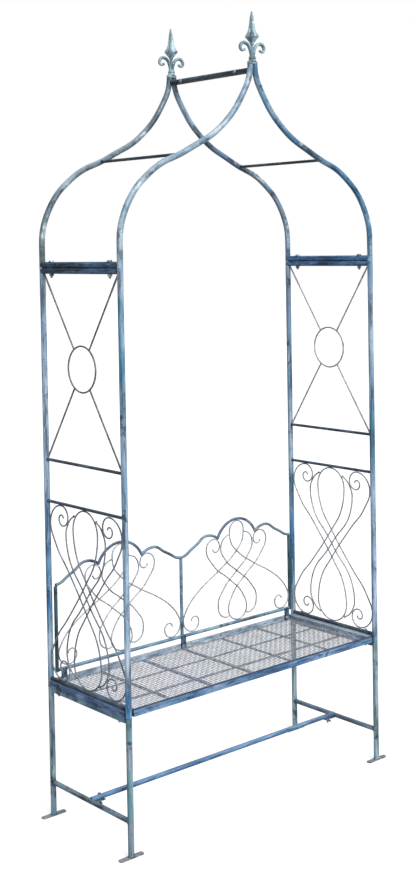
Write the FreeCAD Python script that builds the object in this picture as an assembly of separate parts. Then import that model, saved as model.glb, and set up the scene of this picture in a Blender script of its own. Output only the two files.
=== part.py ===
import FreeCAD, Part
import math
import os

# Garden arch with a bench seat, knock-down steel construction, sizes in millimetres.
# X runs across the arch, -Y is the front, Z is up.
# The origin is on the ground, midway between the four feet.

# ---- Driving dimensions -------------------------------------------------------------
ARCH_WIDTH = 1100.0        # post centre to post centre, across the front
ARCH_DEPTH = 410.0         # front post centre to back post centre
TUBE_D = 19.0              # posts, legs and hoops
TUBE_WALL = 1.2
BAR_D = 16.0               # leg rails, stretcher and ridge tubes
CROSS_BAR_D = 10.0         # plain bars of the side panels
RING_BAR_D = 6.0           # ring and diagonals of the side panels
SCROLL_D = 5.0             # bent scroll rod

LEG_TOP = 424.0            # legs end and posts start
JOINT_HEIGHT = 1774.0      # posts end and arch hoops start
RIDGE_HEIGHT = 2400.0      # centre of the ridge tubes
HOOP_TOP = 2418.0          # cut end of the hoop tubes, under the finial collar

SEAT_RAIL_HEIGHT = 20.0
SEAT_RAIL_DEPTH = 12.0     # front and back rails
SEAT_SIDE_WIDTH = 40.0     # side rails, laid flat
MESH_PITCH = 12.0
MESH_WIRE_D = 2.0

PANEL_BAR_LOW = 1026.0     # bar above the side scrolls
PANEL_BAR_HIGH = 1160.0    # bar under the diagonals
RING_HEIGHT = 1460.0
RING_RADIUS = 72.0

# ---- Derived places -----------------------------------------------------------------
POST_X = ARCH_WIDTH / 2
POST_Y = ARCH_DEPTH / 2
TUBE_R = TUBE_D / 2
INNER_Y = POST_Y - TUBE_R                 # inner side of the posts, front to back
SEAT_TOP = LEG_TOP + SEAT_RAIL_HEIGHT
SEAT_INNER_X = POST_X - 30.0              # inner face of the seat's side rails
SEAT_END_X = POST_X - 18.0                # cut ends of the front and back rails
BOTTOM_BAR_D = 12.0
BOTTOM_BAR_Z = SEAT_TOP + BOTTOM_BAR_D / 2
LAYER = (SCROLL_D + 0.1) / 2              # crossing rods lie in two layers, one each side

V = FreeCAD.Vector
SIDES = {"left": -1, "right": 1}
ENDS = {"front": -1, "back": 1}


# ---- Shape helpers ------------------------------------------------------------------
def rod(start, end, diameter):
    """Solid round bar between two points."""
    axis = end - start
    return Part.makeCylinder(diameter / 2, axis.Length, start, axis)


def tube(start, end, diameter, wall=TUBE_WALL):
    """Round tube between two points, open at both cut ends."""
    return rod(start, end, diameter).cut(rod(start, end, diameter - 2 * wall))


def block(low, high):
    """Box between its lowest and highest corners."""
    size = high - low
    return Part.makeBox(size.x, size.y, size.z, low)


def box_tube(low, high, along):
    """Rectangular tube between two corners, open along one axis."""
    inset = V(TUBE_WALL, TUBE_WALL, TUBE_WALL)
    inset = inset - V(*[TUBE_WALL if axis == along else 0.0 for axis in "xyz"])
    return block(low, high).cut(block(low + inset, high - inset))


def arc_edge(start, tangent, end):
    """Arc that leaves start along tangent and ends at end."""
    chord = end - start
    along = chord * (1 / chord.Length)
    across = tangent - along * tangent.dot(along)
    if across.Length < 1e-4:
        return Part.LineSegment(start, end).toShape()
    half_turn = math.acos(max(-1.0, min(1.0, tangent.dot(along)))) / 2
    across.normalize()
    middle = (start + end) * 0.5 + across * (chord.Length / 2 * math.tan(half_turn))
    return Part.Arc(start, middle, end).toShape()


def biarc(start, start_dir, end, end_dir):
    """Two tangent arcs from start to end with the given directions."""
    span = end - start
    both = start_dir + end_dir
    bend = 2 * (1 - start_dir.dot(end_dir))
    reach = span.dot(both)
    if bend < 1e-6:
        length = span.dot(span) / (2 * reach)
    else:
        length = (math.sqrt(reach ** 2 + bend * span.dot(span)) - reach) / bend
    middle = (start + end + (start_dir - end_dir) * length) * 0.5
    middle_dir = middle - (start + start_dir * length)
    middle_dir.normalize()
    return [arc_edge(start, start_dir, middle), arc_edge(middle, middle_dir, end)]


def smooth_edges(points, start_dir, end_dir):
    """Tangent arcs through points; the direction at a point comes from its neighbours."""
    directions = [start_dir]
    for before, here, after in zip(points, points[1:], points[2:]):
        step_in = here - before
        step_out = after - here
        direction = step_in * (1 / step_in.Length ** 2) + step_out * (1 / step_out.Length ** 2)
        directions.append(direction.normalize())
    directions.append(end_dir)
    edges = []
    for i in range(len(points) - 1):
        edges += biarc(points[i], directions[i], points[i + 1], directions[i + 1])
    return edges


def curl_edges(start, centre_dir, run_dir, radii):
    """Quarter arcs of shrinking radius: a hammered curl at the end of a rod."""
    edges = []
    for radius in radii:
        centre = start + centre_dir * radius
        end = centre + run_dir * radius
        middle = centre + (run_dir - centre_dir) * (radius / math.sqrt(2))
        edges.append(Part.Arc(start, middle, end).toShape())
        start = end
        centre_dir, run_dir = run_dir * -1, centre_dir
    return edges


def bent_rod(edges, diameter):
    """Round rod along tangent edges."""
    path = Part.Wire(edges)
    first = edges[0]
    start = first.valueAt(first.FirstParameter)
    tangent = first.tangentAt(first.FirstParameter)
    section = Part.Wire(Part.Circle(start, tangent, diameter / 2).toShape())
    return path.makePipeShell([section], True, False)


def save(node, *solids):
    """Write one node; several like pieces stay separate solids."""
    shape = solids[0] if len(solids) == 1 else Part.makeCompound(list(solids))
    shape.exportStep("parts/" + node + ".step")


os.makedirs("parts", exist_ok=True)


# ---- Fasteners: hex bolts, nuts and wing nuts ---------------------------------------
M6 = {"shank": 6.0, "corners": 11.5, "head": 4.0, "nut": 5.0, "past": 3.0}
M8 = {"shank": 8.0, "corners": 15.0, "head": 5.3, "nut": 6.5, "past": 6.0}
M6_WING = {"shank": 6.0, "corners": 11.5, "head": 4.0, "nut": 7.0, "past": 8.0}
HOLE_CLEARANCE = 0.4

frame_bolts = []
frame_nuts = []
bolt_holes = []


def hexagon(base, axis, height, corners):
    """Hexagonal prism, standing on base."""
    angles = [math.radians(60 * i) for i in range(7)]
    outline = [V(corners / 2 * math.cos(angle), corners / 2 * math.sin(angle), 0)
               for angle in angles]
    prism = Part.Face(Part.makePolygon(outline)).extrude(V(0, 0, height))
    prism.Placement = FreeCAD.Placement(base, FreeCAD.Rotation(V(0, 0, 1), axis))
    return prism


def bolt(seat, axis, grip, size):
    """Hex bolt: head on seat, shank along axis through grip and its nut."""
    length = grip + size["nut"] + size["past"]
    shank = rod(seat, seat + axis * length, size["shank"])
    head = hexagon(seat, axis * -1, size["head"], size["corners"])
    return head.fuse(shank).removeSplitter()


def fasten(seat, axis, grip, size=M6):
    """Add one bolt with its nut, and the hole that both need in what they clamp."""
    frame_bolts.append(bolt(seat, axis, grip, size))
    far_side = seat + axis * grip
    nut = hexagon(far_side, axis, size["nut"], size["corners"])
    frame_nuts.append(nut.cut(rod(far_side, far_side + axis * size["nut"], size["shank"])))
    bolt_holes.append(rod(seat - axis, far_side + axis, size["shank"] + HOLE_CLEARANCE))


JOINT_BOLT_Y = 154.0           # bolts of the arch joints, from the middle
SEAT_BOLT_Y = 160.0            # bolts of the seat, outside the curls of the scrolls
RIDGE_BOLT_Y = 137.0
BASE_BAR_TOP = JOINT_HEIGHT + TUBE_D
LEG_BAR_BOTTOM = LEG_TOP - BAR_D
BOTTOM_BAR_TOP = SEAT_TOP + BOTTOM_BAR_D
down = V(0, 0, -1)
for side in SIDES.values():
    for end in ENDS.values():
        fasten(V(side * POST_X, end * JOINT_BOLT_Y, BASE_BAR_TOP), down, 2 * TUBE_D, M8)
        fasten(V(side * POST_X, end * SEAT_BOLT_Y, BOTTOM_BAR_TOP), down,
               BOTTOM_BAR_TOP - LEG_BAR_BOTTOM)
for end in ENDS.values():
    fasten(V(-BAR_D, end * RIDGE_BOLT_Y, RIDGE_HEIGHT), V(1, 0, 0), 2 * BAR_D)


def drilled(shape):
    """Cut the bolt holes that pass through a shape."""
    for hole in bolt_holes:
        if shape.BoundBox.intersect(hole.BoundBox):
            shape = shape.cut(hole)
    return shape


# ---- Legs: four tubes on flat feet, tied by rails -----------------------------------
FOOT_LENGTH = 90.0
FOOT_WIDTH = 18.0
FOOT_THICK = 4.0
CROSS_RAIL_Z = 109.0

feet = []
for side_name, side in SIDES.items():
    for end_name, end in ENDS.items():
        x = side * POST_X
        y = end * POST_Y
        leg = tube(V(x, y, FOOT_THICK), V(x, y, LEG_TOP), TUBE_D)
        save("leg_%s_%s" % (end_name, side_name), leg)
        foot = block(V(x - FOOT_LENGTH / 2, y - FOOT_WIDTH / 2, 0),
                     V(x + FOOT_LENGTH / 2, y + FOOT_WIDTH / 2, FOOT_THICK))
        upright_edges = [edge for edge in foot.Edges if abs(edge.tangentAt(0).z) > 0.9]
        feet.append(foot.makeFillet(6.0, upright_edges))
save("foot_plates", *feet)


def side_member(x, z, diameter):
    """Outer solid of a bar that runs front to back and is coped onto both posts."""
    bar = rod(V(x, -POST_Y, z), V(x, POST_Y, z), diameter)
    for end in ENDS.values():
        post = rod(V(x, end * POST_Y, z - diameter), V(x, end * POST_Y, z + diameter), TUBE_D)
        bar = bar.cut(post)
    return bar


def side_tube(x, z, diameter):
    """Tube that runs front to back and is coped onto both posts."""
    bore = rod(V(x, -POST_Y, z), V(x, POST_Y, z), diameter - 2 * TUBE_WALL)
    return side_member(x, z, diameter).cut(bore)


# Rails between the legs. Each cross rail carries a lug for the stretcher.
LUG_START_X = POST_X - 52.0
LUG_WIDTH = 20.0
LUG_THICK = 3.0
STRETCHER_Z = CROSS_RAIL_Z + 4.0
STRETCHER_END_X = POST_X - 3.0
STRETCHER_BOLT_X = POST_X - 34.0
WING_HUB_TOP = 6.0
WING_HUB_TIP = 4.5
WING_THICK = 2.0
WING_OUTLINE = [(3.6, -1.5), (13.0, -1.5), (16.0, -4.5), (13.5, -9.0),
                (8.0, -8.0), (3.6, -6.5), (3.6, -1.5)]

stretcher_top = STRETCHER_Z + BAR_D / 2
lug_top = STRETCHER_Z - BAR_D / 2
lug_bottom = lug_top - LUG_THICK
stretcher = tube(V(-STRETCHER_END_X, 0, STRETCHER_Z), V(STRETCHER_END_X, 0, STRETCHER_Z), BAR_D)
leg_top_bars = []
stretcher_lugs = []
stretcher_bolts = []
wing_nuts = []
for side_name, side in SIDES.items():
    x = side * POST_X
    leg_top_bars.append(drilled(box_tube(V(x - BAR_D / 2, -INNER_Y, LEG_BAR_BOTTOM),
                                         V(x + BAR_D / 2, INNER_Y, LEG_TOP), "y")))
    save("leg_cross_rail_" + side_name, side_tube(x, CROSS_RAIL_Z, BAR_D))
    cross_rail = side_member(x, CROSS_RAIL_Z, BAR_D)

    bolt_x = side * STRETCHER_BOLT_X
    hole = rod(V(bolt_x, 0, lug_bottom - 1), V(bolt_x, 0, stretcher_top + 1),
               M6["shank"] + HOLE_CLEARANCE)
    lug = block(V(min(side * LUG_START_X, x), -LUG_WIDTH / 2, lug_bottom),
                V(max(side * LUG_START_X, x), LUG_WIDTH / 2, lug_top))
    stretcher_lugs.append(lug.cut(cross_rail).cut(hole))
    stretcher = stretcher.cut(cross_rail).cut(hole)
    stretcher_bolts.append(bolt(V(bolt_x, 0, stretcher_top), down, BAR_D + LUG_THICK, M6_WING))

    nut_top = V(bolt_x, 0, lug_bottom)
    wing_nut = Part.makeCone(WING_HUB_TOP, WING_HUB_TIP, M6_WING["nut"], nut_top, down)
    for way in (-1, 1):
        outline = [nut_top + V(-WING_THICK / 2, way * y, z) for y, z in WING_OUTLINE]
        wing_nut = wing_nut.fuse(Part.Face(Part.makePolygon(outline)).extrude(V(WING_THICK, 0, 0)))
    thread = rod(nut_top, nut_top + down * (2 * M6_WING["nut"]), M6_WING["shank"])
    wing_nuts.append(wing_nut.cut(thread))
save("leg_top_bars", *leg_top_bars)
save("stretcher", stretcher)
save("stretcher_lugs", *stretcher_lugs)
save("stretcher_bolts", *stretcher_bolts)
save("stretcher_wing_nuts", *wing_nuts)

# ---- Seat: a frame of rectangular tube, support bars and wire mesh ------------------
for end_name, end in ENDS.items():
    near = end * INNER_Y
    far = end * (INNER_Y + SEAT_RAIL_DEPTH)
    rail = box_tube(V(-SEAT_END_X, min(near, far), LEG_TOP),
                    V(SEAT_END_X, max(near, far), SEAT_TOP), "x")
    if end > 0:
        back_rail = rail
    else:
        save("seat_front_rail", rail)

for side_name, side in SIDES.items():
    near = side * SEAT_INNER_X
    far = side * (SEAT_INNER_X + SEAT_SIDE_WIDTH)
    rail = box_tube(V(min(near, far), -INNER_Y, LEG_TOP), V(max(near, far), INNER_Y, SEAT_TOP), "y")
    save("seat_side_rail_" + side_name, drilled(rail))

DEPTH_BAR_SPACING = 178.0
DEPTH_BAR_WIDTH = 10.0
DEPTH_BAR_THICK = 4.0
DEPTH_BARS_EACH_SIDE = 2
depth_bars = []
for i in range(-DEPTH_BARS_EACH_SIDE, DEPTH_BARS_EACH_SIDE + 1):
    x = i * DEPTH_BAR_SPACING
    depth_bars.append(block(V(x - DEPTH_BAR_WIDTH / 2, -INNER_Y, LEG_TOP),
                            V(x + DEPTH_BAR_WIDTH / 2, INNER_Y, LEG_TOP + DEPTH_BAR_THICK)))
save("seat_depth_bars", *depth_bars)

LENGTH_BAR_D = 6.0
LENGTH_BAR_END_X = SEAT_INNER_X + 12.0
length_bars = []
for end in ENDS.values():
    y = end * ARCH_DEPTH / 6
    z = LEG_TOP - LENGTH_BAR_D / 2
    length_bars.append(rod(V(-LENGTH_BAR_END_X, y, z), V(LENGTH_BAR_END_X, y, z), LENGTH_BAR_D))
save("seat_length_bars", *length_bars)


def wire_positions(half_span):
    """Evenly spaced wire centres, kept clear of both rails."""
    count = int(2 * half_span / MESH_PITCH)
    first = -(count - 1) * MESH_PITCH / 2
    return [first + i * MESH_PITCH for i in range(count)]


mesh_low = LEG_TOP + DEPTH_BAR_THICK + MESH_WIRE_D / 2
mesh_high = mesh_low + MESH_WIRE_D
save("seat_mesh_long_wires",
     *[rod(V(-SEAT_INNER_X, y, mesh_low), V(SEAT_INNER_X, y, mesh_low), MESH_WIRE_D)
       for y in wire_positions(INNER_Y)])
save("seat_mesh_cross_wires",
     *[rod(V(x, -INNER_Y, mesh_high), V(x, INNER_Y, mesh_high), MESH_WIRE_D)
       for x in wire_positions(SEAT_INNER_X)])

# ---- Side panels --------------------------------------------------------------------
TOP_BAR_Z = JOINT_HEIGHT - TUBE_R
LOOP_RADIUS = 68.0
CURL_RADII = (62.0, 35.0, 29.0, 20.0, 14.0, 10.0)


def scroll_loop(place, flip, reach, low, loop_radius, loop_top, leg, curl_radii):
    """Rod with a round loop at one end of its panel, crossed legs and two curls.

    place(u, w, n) turns panel coordinates into a point, flip is +1 for a loop at the
    top and -1 for one at the bottom, and leg lists the points between loop and curl.
    """
    def at(u, w, n):
        return place(u, flip * w, flip * n)

    def direction(u, w):
        vector = place(u, flip * w, 0) - place(0, 0, 0)
        return vector.normalize()

    loop_centre = loop_top - loop_radius
    curl_start = low + curl_radii[0]
    right_leg = [at(loop_radius, loop_centre, LAYER)]
    right_leg += [at(u, w, LAYER) for u, w in leg]
    right_leg += [at(-reach, curl_start, LAYER)]
    left_leg = [at(-loop_radius, loop_centre, -LAYER)]
    left_leg += [at(-u, w, -LAYER) for u, w in leg]
    left_leg += [at(reach, curl_start, -LAYER)]
    down = direction(0, -1)
    right_curl = curl_edges(right_leg[-1], direction(1, 0), down, curl_radii)
    left_curl = curl_edges(left_leg[-1], direction(-1, 0), down, curl_radii)
    loop = Part.Arc(right_leg[0], at(0, loop_top, 0), left_leg[0]).toShape()
    edges = smooth_edges(right_leg, down, down) + right_curl
    edges = Part.sortEdges(edges + [loop] + smooth_edges(left_leg, down, down) + left_curl)[0]
    return bent_rod(oriented(edges), SCROLL_D)


def oriented(edges):
    """Edges of one open path as new edges that all run the same way."""
    ordered = Part.Wire(edges).OrderedEdges
    result = []
    for edge in ordered:
        first = edge.valueAt(edge.FirstParameter)
        last = edge.valueAt(edge.LastParameter)
        middle = edge.valueAt((edge.FirstParameter + edge.LastParameter) / 2)
        if edge.Orientation == "Reversed":
            first, last = last, first
        if (first + last - middle * 2).Length < 1e-6:
            result.append(Part.LineSegment(first, last).toShape())
        else:
            result.append(Part.Arc(first, middle, last).toShape())
    return result


SCROLL_LOW = BOTTOM_BAR_Z + BOTTOM_BAR_D / 2 + SCROLL_D / 2
SCROLL_HIGH = PANEL_BAR_LOW - CROSS_BAR_D / 2 - SCROLL_D / 2
SCROLL_MIDDLE = (SCROLL_LOW + SCROLL_HIGH) / 2
SCROLL_HALF = (SCROLL_HIGH - SCROLL_LOW) / 2
SCROLL_REACH = INNER_Y - SCROLL_D / 2 - 0.5
SIDE_LEG = [(50, 125), (0, 50), (-96, -72), (-163, -150)]
SIDE_MIDDLE = [(58, 257), (82, 243), (97, 223), (106, 203), (107, 176), (99, 136), (0, 0),
               (-99, -136), (-107, -176), (-106, -203), (-97, -223), (-82, -243), (-58, -257)]
MIDDLE_END_SLOPE = (0.89, -0.45)
DIAGONAL_INSET = 1.0           # diagonals run this far into the posts' sides

for side_name, side in SIDES.items():
    x = side * POST_X
    for end_name, end in ENDS.items():
        y = end * POST_Y
        post = tube(V(x, y, LEG_TOP), V(x, y, JOINT_HEIGHT), TUBE_D)
        save("side_post_%s_%s" % (end_name, side_name), post)
    top_bar = side_member(x, TOP_BAR_Z, TUBE_D)
    save("side_top_bar_" + side_name, drilled(side_tube(x, TOP_BAR_Z, TUBE_D)))
    save("side_bottom_bar_" + side_name, drilled(side_member(x, BOTTOM_BAR_Z, BOTTOM_BAR_D)))
    high_bar = side_member(x, PANEL_BAR_HIGH, CROSS_BAR_D)
    save("side_cross_bars_" + side_name, high_bar, side_member(x, PANEL_BAR_LOW, CROSS_BAR_D))

    ring_centre = V(x, 0, RING_HEIGHT)
    ring = Part.makeTorus(RING_RADIUS, RING_BAR_D / 2, ring_centre, V(1, 0, 0))
    save("side_ring_" + side_name, ring)
    diagonals = []
    for end in ENDS.values():
        for corner_z in (JOINT_HEIGHT - TUBE_D, PANEL_BAR_HIGH + CROSS_BAR_D / 2):
            corner = V(x, end * (INNER_Y - DIAGONAL_INSET), corner_z)
            outward = (corner - ring_centre).normalize()
            diagonal = rod(ring_centre + outward * RING_RADIUS, corner, RING_BAR_D)
            post = rod(V(x, end * POST_Y, LEG_TOP), V(x, end * POST_Y, JOINT_HEIGHT), TUBE_D)
            diagonals.append(diagonal.cut(ring).cut(post).cut(top_bar).cut(high_bar))
    save("side_diagonals_" + side_name, *diagonals)

    def on_side(u, w, n, x=x):
        """Side panel coordinates, measured from the middle of the scrolls."""
        return V(x + n, u, SCROLL_MIDDLE + w)

    loops = [scroll_loop(on_side, flip, SCROLL_REACH, -SCROLL_HALF, LOOP_RADIUS,
                         SCROLL_HALF, SIDE_LEG, CURL_RADII) for flip in (1, -1)]
    save("side_scroll_loops_" + side_name, *loops)
    middles = []
    for layer in (1, -1):
        points = [on_side(layer * u, w, layer * LAYER) for u, w in SIDE_MIDDLE]
        out = V(0, layer * MIDDLE_END_SLOPE[0], MIDDLE_END_SLOPE[1]).normalize()
        middles.append(bent_rod(smooth_edges(points, out, out), SCROLL_D))
    save("side_scroll_middles_" + side_name, *middles)

# ---- Back panel: two bays of scrolls under a waved rail -----------------------------
PANEL_Y = INNER_Y + SEAT_RAIL_DEPTH / 2
PANEL_POST_D = 12.0
PANEL_RAIL_D = 10.0
PANEL_END_X = POST_X - 22.0
BAY_HALF = PANEL_END_X / 2
PANEL_BOTTOM_Z = 470.0
WAVE_LOW = 748.0
WAVE_HUMP = 805.0
WAVE_CUSP = 788.0
WAVE_TOP = 846.0
HUMP_X = 143.0
CUSP_X = 91.0
SHOULDER_X = 200.0
SHOULDER_Z = 776.0
SHOULDER_SLOPE = (0.8, -0.6)

low_post_end = PANEL_BOTTOM_Z - PANEL_POST_D / 2
high_post_end = WAVE_LOW - PANEL_RAIL_D / 2
for name, x in (("left", -PANEL_END_X), ("centre", 0.0), ("right", PANEL_END_X)):
    foot_z = PANEL_BOTTOM_Z + PANEL_POST_D / 2 if name == "centre" else low_post_end
    post = rod(V(x, PANEL_Y, foot_z), V(x, PANEL_Y, high_post_end), PANEL_POST_D)
    save("back_panel_post_" + name, post)
rail_end = PANEL_END_X - PANEL_POST_D / 2
save("back_panel_bottom_rail",
     rod(V(-rail_end, PANEL_Y, PANEL_BOTTOM_Z), V(rail_end, PANEL_Y, PANEL_BOTTOM_Z), PANEL_POST_D))

waves = []
for side in SIDES.values():
    centre_x = side * BAY_HALF
    wave = Part.makeSphere(PANEL_RAIL_D / 2, V(centre_x + CUSP_X, PANEL_Y, WAVE_CUSP))
    wave = wave.fuse(Part.makeSphere(PANEL_RAIL_D / 2, V(centre_x - CUSP_X, PANEL_Y, WAVE_CUSP)))
    crown = Part.Arc(V(centre_x - CUSP_X, PANEL_Y, WAVE_CUSP),
                     V(centre_x, PANEL_Y, WAVE_TOP),
                     V(centre_x + CUSP_X, PANEL_Y, WAVE_CUSP)).toShape()
    wave = wave.fuse(bent_rod([crown], PANEL_RAIL_D))
    for way in (-1, 1):
        points = [V(centre_x + way * u, PANEL_Y, w) for u, w in (
            (BAY_HALF, WAVE_LOW), (SHOULDER_X, SHOULDER_Z), (HUMP_X, WAVE_HUMP), (CUSP_X, WAVE_CUSP))]
        into_cusp = V(-way * SHOULDER_SLOPE[0], 0, SHOULDER_SLOPE[1])
        shoulder = smooth_edges(points, V(-way, 0, 0), into_cusp)
        wave = wave.fuse(bent_rod(shoulder, PANEL_RAIL_D))
    waves.append(wave)
save("back_panel_top_rails", *waves)

BAY_TOP = WAVE_TOP - PANEL_RAIL_D / 2 - SCROLL_D / 2
BAY_LOW = PANEL_BOTTOM_Z + PANEL_POST_D / 2 + SCROLL_D / 2
BAY_REACH = BAY_HALF - PANEL_POST_D / 2 - SCROLL_D / 2 - 0.5
UPPER_LOOP_RADIUS = 36.0
UPPER_LEG = [(28, 760), (0, 728), (-88, 668), (-152, 633), (-207, 594), (-241, 555)]
UPPER_CURL = (41.0, 30.0, 20.0, 14.0)
LOWER_LOOP_RADIUS = 42.0
LOWER_REACH = 148.0
LOWER_CURL_TOP = 788.0
LOWER_LEG = [(19, -576), (-39, -631), (-112, -690)]      # heights count downwards here
LOWER_CURL = (34.0, 29.0, 19.0, 13.0)
BAY_MIDDLE = [(40, 793), (66, 781), (79, 750), (54, 700), (0, 655),
              (-56, 608), (-91, 545), (-80, 508), (-41, 498)]
BAY_START_SLOPE = (0.97, -0.26)
BAY_END_SLOPE = (0.9, 0.43)

bay_loops = []
bay_middles = []
for side in SIDES.values():
    def on_back(u, w, n, centre_x=side * BAY_HALF):
        """Back panel coordinates: u from the middle of the bay, w above the ground."""
        return V(centre_x + u, PANEL_Y + n, w)

    bay_loops.append(scroll_loop(on_back, 1, BAY_REACH, BAY_LOW, UPPER_LOOP_RADIUS,
                                 BAY_TOP, UPPER_LEG, UPPER_CURL))
    bay_loops.append(scroll_loop(on_back, -1, LOWER_REACH, -LOWER_CURL_TOP, LOWER_LOOP_RADIUS,
                                 -BAY_LOW, LOWER_LEG, LOWER_CURL))
    for layer in (1, -1):
        points = [on_back(layer * u, w, layer * LAYER) for u, w in BAY_MIDDLE]
        start_dir = V(layer * BAY_START_SLOPE[0], 0, BAY_START_SLOPE[1]).normalize()
        end_dir = V(layer * BAY_END_SLOPE[0], 0, BAY_END_SLOPE[1]).normalize()
        bay_middles.append(bent_rod(smooth_edges(points, start_dir, end_dir), SCROLL_D))
save("back_panel_scroll_loops", *bay_loops)
save("back_panel_scroll_middles", *bay_middles)

# Three tabs hang from the bottom rail and bolt to the seat's back rail.
TAB_X = 505.0
TAB_THICK = 3.0
TAB_HALF_WIDTH = 11.0
TAB_BOLT_Z = SEAT_TOP - 8.0
TAB_LOW_Z = TAB_BOLT_Z - 6.0
TAB_HIGH_Z = PANEL_BOTTOM_Z + 4.0
tabs = []
for x in (-TAB_X, 0.0, TAB_X):
    fasten(V(x, INNER_Y - TAB_THICK, TAB_BOLT_Z), V(0, 1, 0), TAB_THICK + SEAT_RAIL_DEPTH)
    tab = block(V(x - TAB_HALF_WIDTH, INNER_Y - TAB_THICK, TAB_LOW_Z),
                V(x + TAB_HALF_WIDTH, INNER_Y, TAB_HIGH_Z))
    tabs.append(drilled(tab))
save("back_panel_tabs", *tabs)
save("seat_back_rail", drilled(back_rail))

# ---- Arch: two bolted halves, each with a front hoop, a back hoop and three ties ----
HOOP_POINTS = [(0, 1850), (52, 1996), (130, 2068), (275, 2136), (400, 2204), (484, 2288)]
TIE_ROD_X = POST_X - 238.0
TIE_ROD_Z = 2119.0
HOOP_TOP_X = TUBE_R + 0.1


def hoop_edges(side, y):
    """One ogee side of a hoop, from the post up to the ridge."""
    points = [V(side * (POST_X - inset), y, z) for inset, z in HOOP_POINTS]
    points.append(V(side * HOOP_TOP_X, y, HOOP_TOP))
    up = V(0, 0, 1)
    foot = V(side * POST_X, y, JOINT_HEIGHT)
    return [Part.LineSegment(foot, points[0]).toShape()] + smooth_edges(points, up, up)


tie_rods = []
for side_name, side in SIDES.items():
    hoops = []
    for end_name, end in ENDS.items():
        edges = hoop_edges(side, end * POST_Y)
        outside = bent_rod(edges, TUBE_D)
        bore = bent_rod(edges, TUBE_D - 2 * TUBE_WALL)
        save("arch_hoop_%s_%s" % (end_name, side_name), outside.cut(bore))
        hoops.append(outside)
    x = side * POST_X
    save("arch_base_bar_" + side_name, drilled(side_tube(x, JOINT_HEIGHT + TUBE_R, TUBE_D)))
    tie_x = side * TIE_ROD_X
    tie_rod = rod(V(tie_x, -POST_Y, TIE_ROD_Z), V(tie_x, POST_Y, TIE_ROD_Z), CROSS_BAR_D)
    tie_rods.append(tie_rod.cut(hoops[0]).cut(hoops[1]))
    ridge_x = side * BAR_D / 2
    ridge = tube(V(ridge_x, -INNER_Y, RIDGE_HEIGHT), V(ridge_x, INNER_Y, RIDGE_HEIGHT), BAR_D)
    save("ridge_tube_" + side_name, drilled(ridge))
save("arch_tie_rods", *tie_rods)

# ---- Finials: a cast spear, two leaves and a collar over each pair of hoop ends -----
COLLAR_HEIGHT = 22.0
COLLAR_BASE_HEIGHT = 9.0
COLLAR_HALF_X = 19.2
COLLAR_HALF_Y = 9.6
COLLAR_CORNER = 9.4
COLLAR_CONE_R = 12.5
COLLAR_TOP_R = 11.0
SPEAR_BASE = HOOP_TOP + COLLAR_HEIGHT
STEM_D = 11.0
NECK_Z = 2485.0
SPEAR_SECTIONS = [(NECK_Z, STEM_D / math.sqrt(2)), (2507.0, 34.0), (2529.0, 17.0),
                  (2559.0, 10.5), (2588.0, 4.5)]
LEAF_POINTS = [(8.5, SPEAR_BASE + 2.0), (13.5, 2468.0), (33.0, 2490.0), (53.0, 2474.0)]
LEAF_START_SLOPE = (0.12, 1.0)
LEAF_D = 9.0
LEAF_CURL_R = 9.0
LEAF_TIP_D = 12.5


def square_section(centre, width):
    """Closed square outline around a vertical axis."""
    half = width / 2
    return Part.makePolygon([centre + V(a * half, b * half, 0)
                             for a, b in ((-1, -1), (1, -1), (1, 1), (-1, 1), (-1, -1))])


spears = []
leaves = []
collars = []
for end in ENDS.values():
    y = end * POST_Y
    base = block(V(-COLLAR_HALF_X, y - COLLAR_HALF_Y, HOOP_TOP),
                 V(COLLAR_HALF_X, y + COLLAR_HALF_Y, HOOP_TOP + COLLAR_BASE_HEIGHT))
    upright_edges = [edge for edge in base.Edges if abs(edge.tangentAt(0).z) > 0.9]
    base = base.makeFillet(COLLAR_CORNER, upright_edges)
    cone_base = V(0, y, HOOP_TOP + COLLAR_BASE_HEIGHT)
    cone = Part.makeCone(COLLAR_CONE_R, COLLAR_TOP_R, COLLAR_HEIGHT - COLLAR_BASE_HEIGHT, cone_base)
    collars.append(base.fuse(cone).removeSplitter())

    stem = rod(V(0, y, SPEAR_BASE), V(0, y, NECK_Z), STEM_D)
    sections = [square_section(V(0, y, z), width) for z, width in SPEAR_SECTIONS]
    head = Part.makeLoft(sections, True, True)
    spears.append(stem.fuse(head).removeSplitter())

    for side in SIDES.values():
        points = [V(side * u, y, w) for u, w in LEAF_POINTS]
        rise = V(side * LEAF_START_SLOPE[0], 0, LEAF_START_SLOPE[1]).normalize()
        edges = smooth_edges(points, rise, V(0, 0, -1))
        edges += curl_edges(points[-1], V(-side, 0, 0), V(0, 0, -1), (LEAF_CURL_R,))
        tip = edges[-1].valueAt(edges[-1].LastParameter)
        leaf = bent_rod(edges, LEAF_D).fuse(Part.makeSphere(LEAF_TIP_D / 2, tip))
        leaves.append(leaf.cut(stem))
save("finial_spears", *spears)
save("finial_leaves", *leaves)
save("finial_collars", *collars)

save("frame_bolts", *frame_bolts)
save("frame_nuts", *frame_nuts)
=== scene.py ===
import bpy
import math
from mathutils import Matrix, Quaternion, Vector


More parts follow.
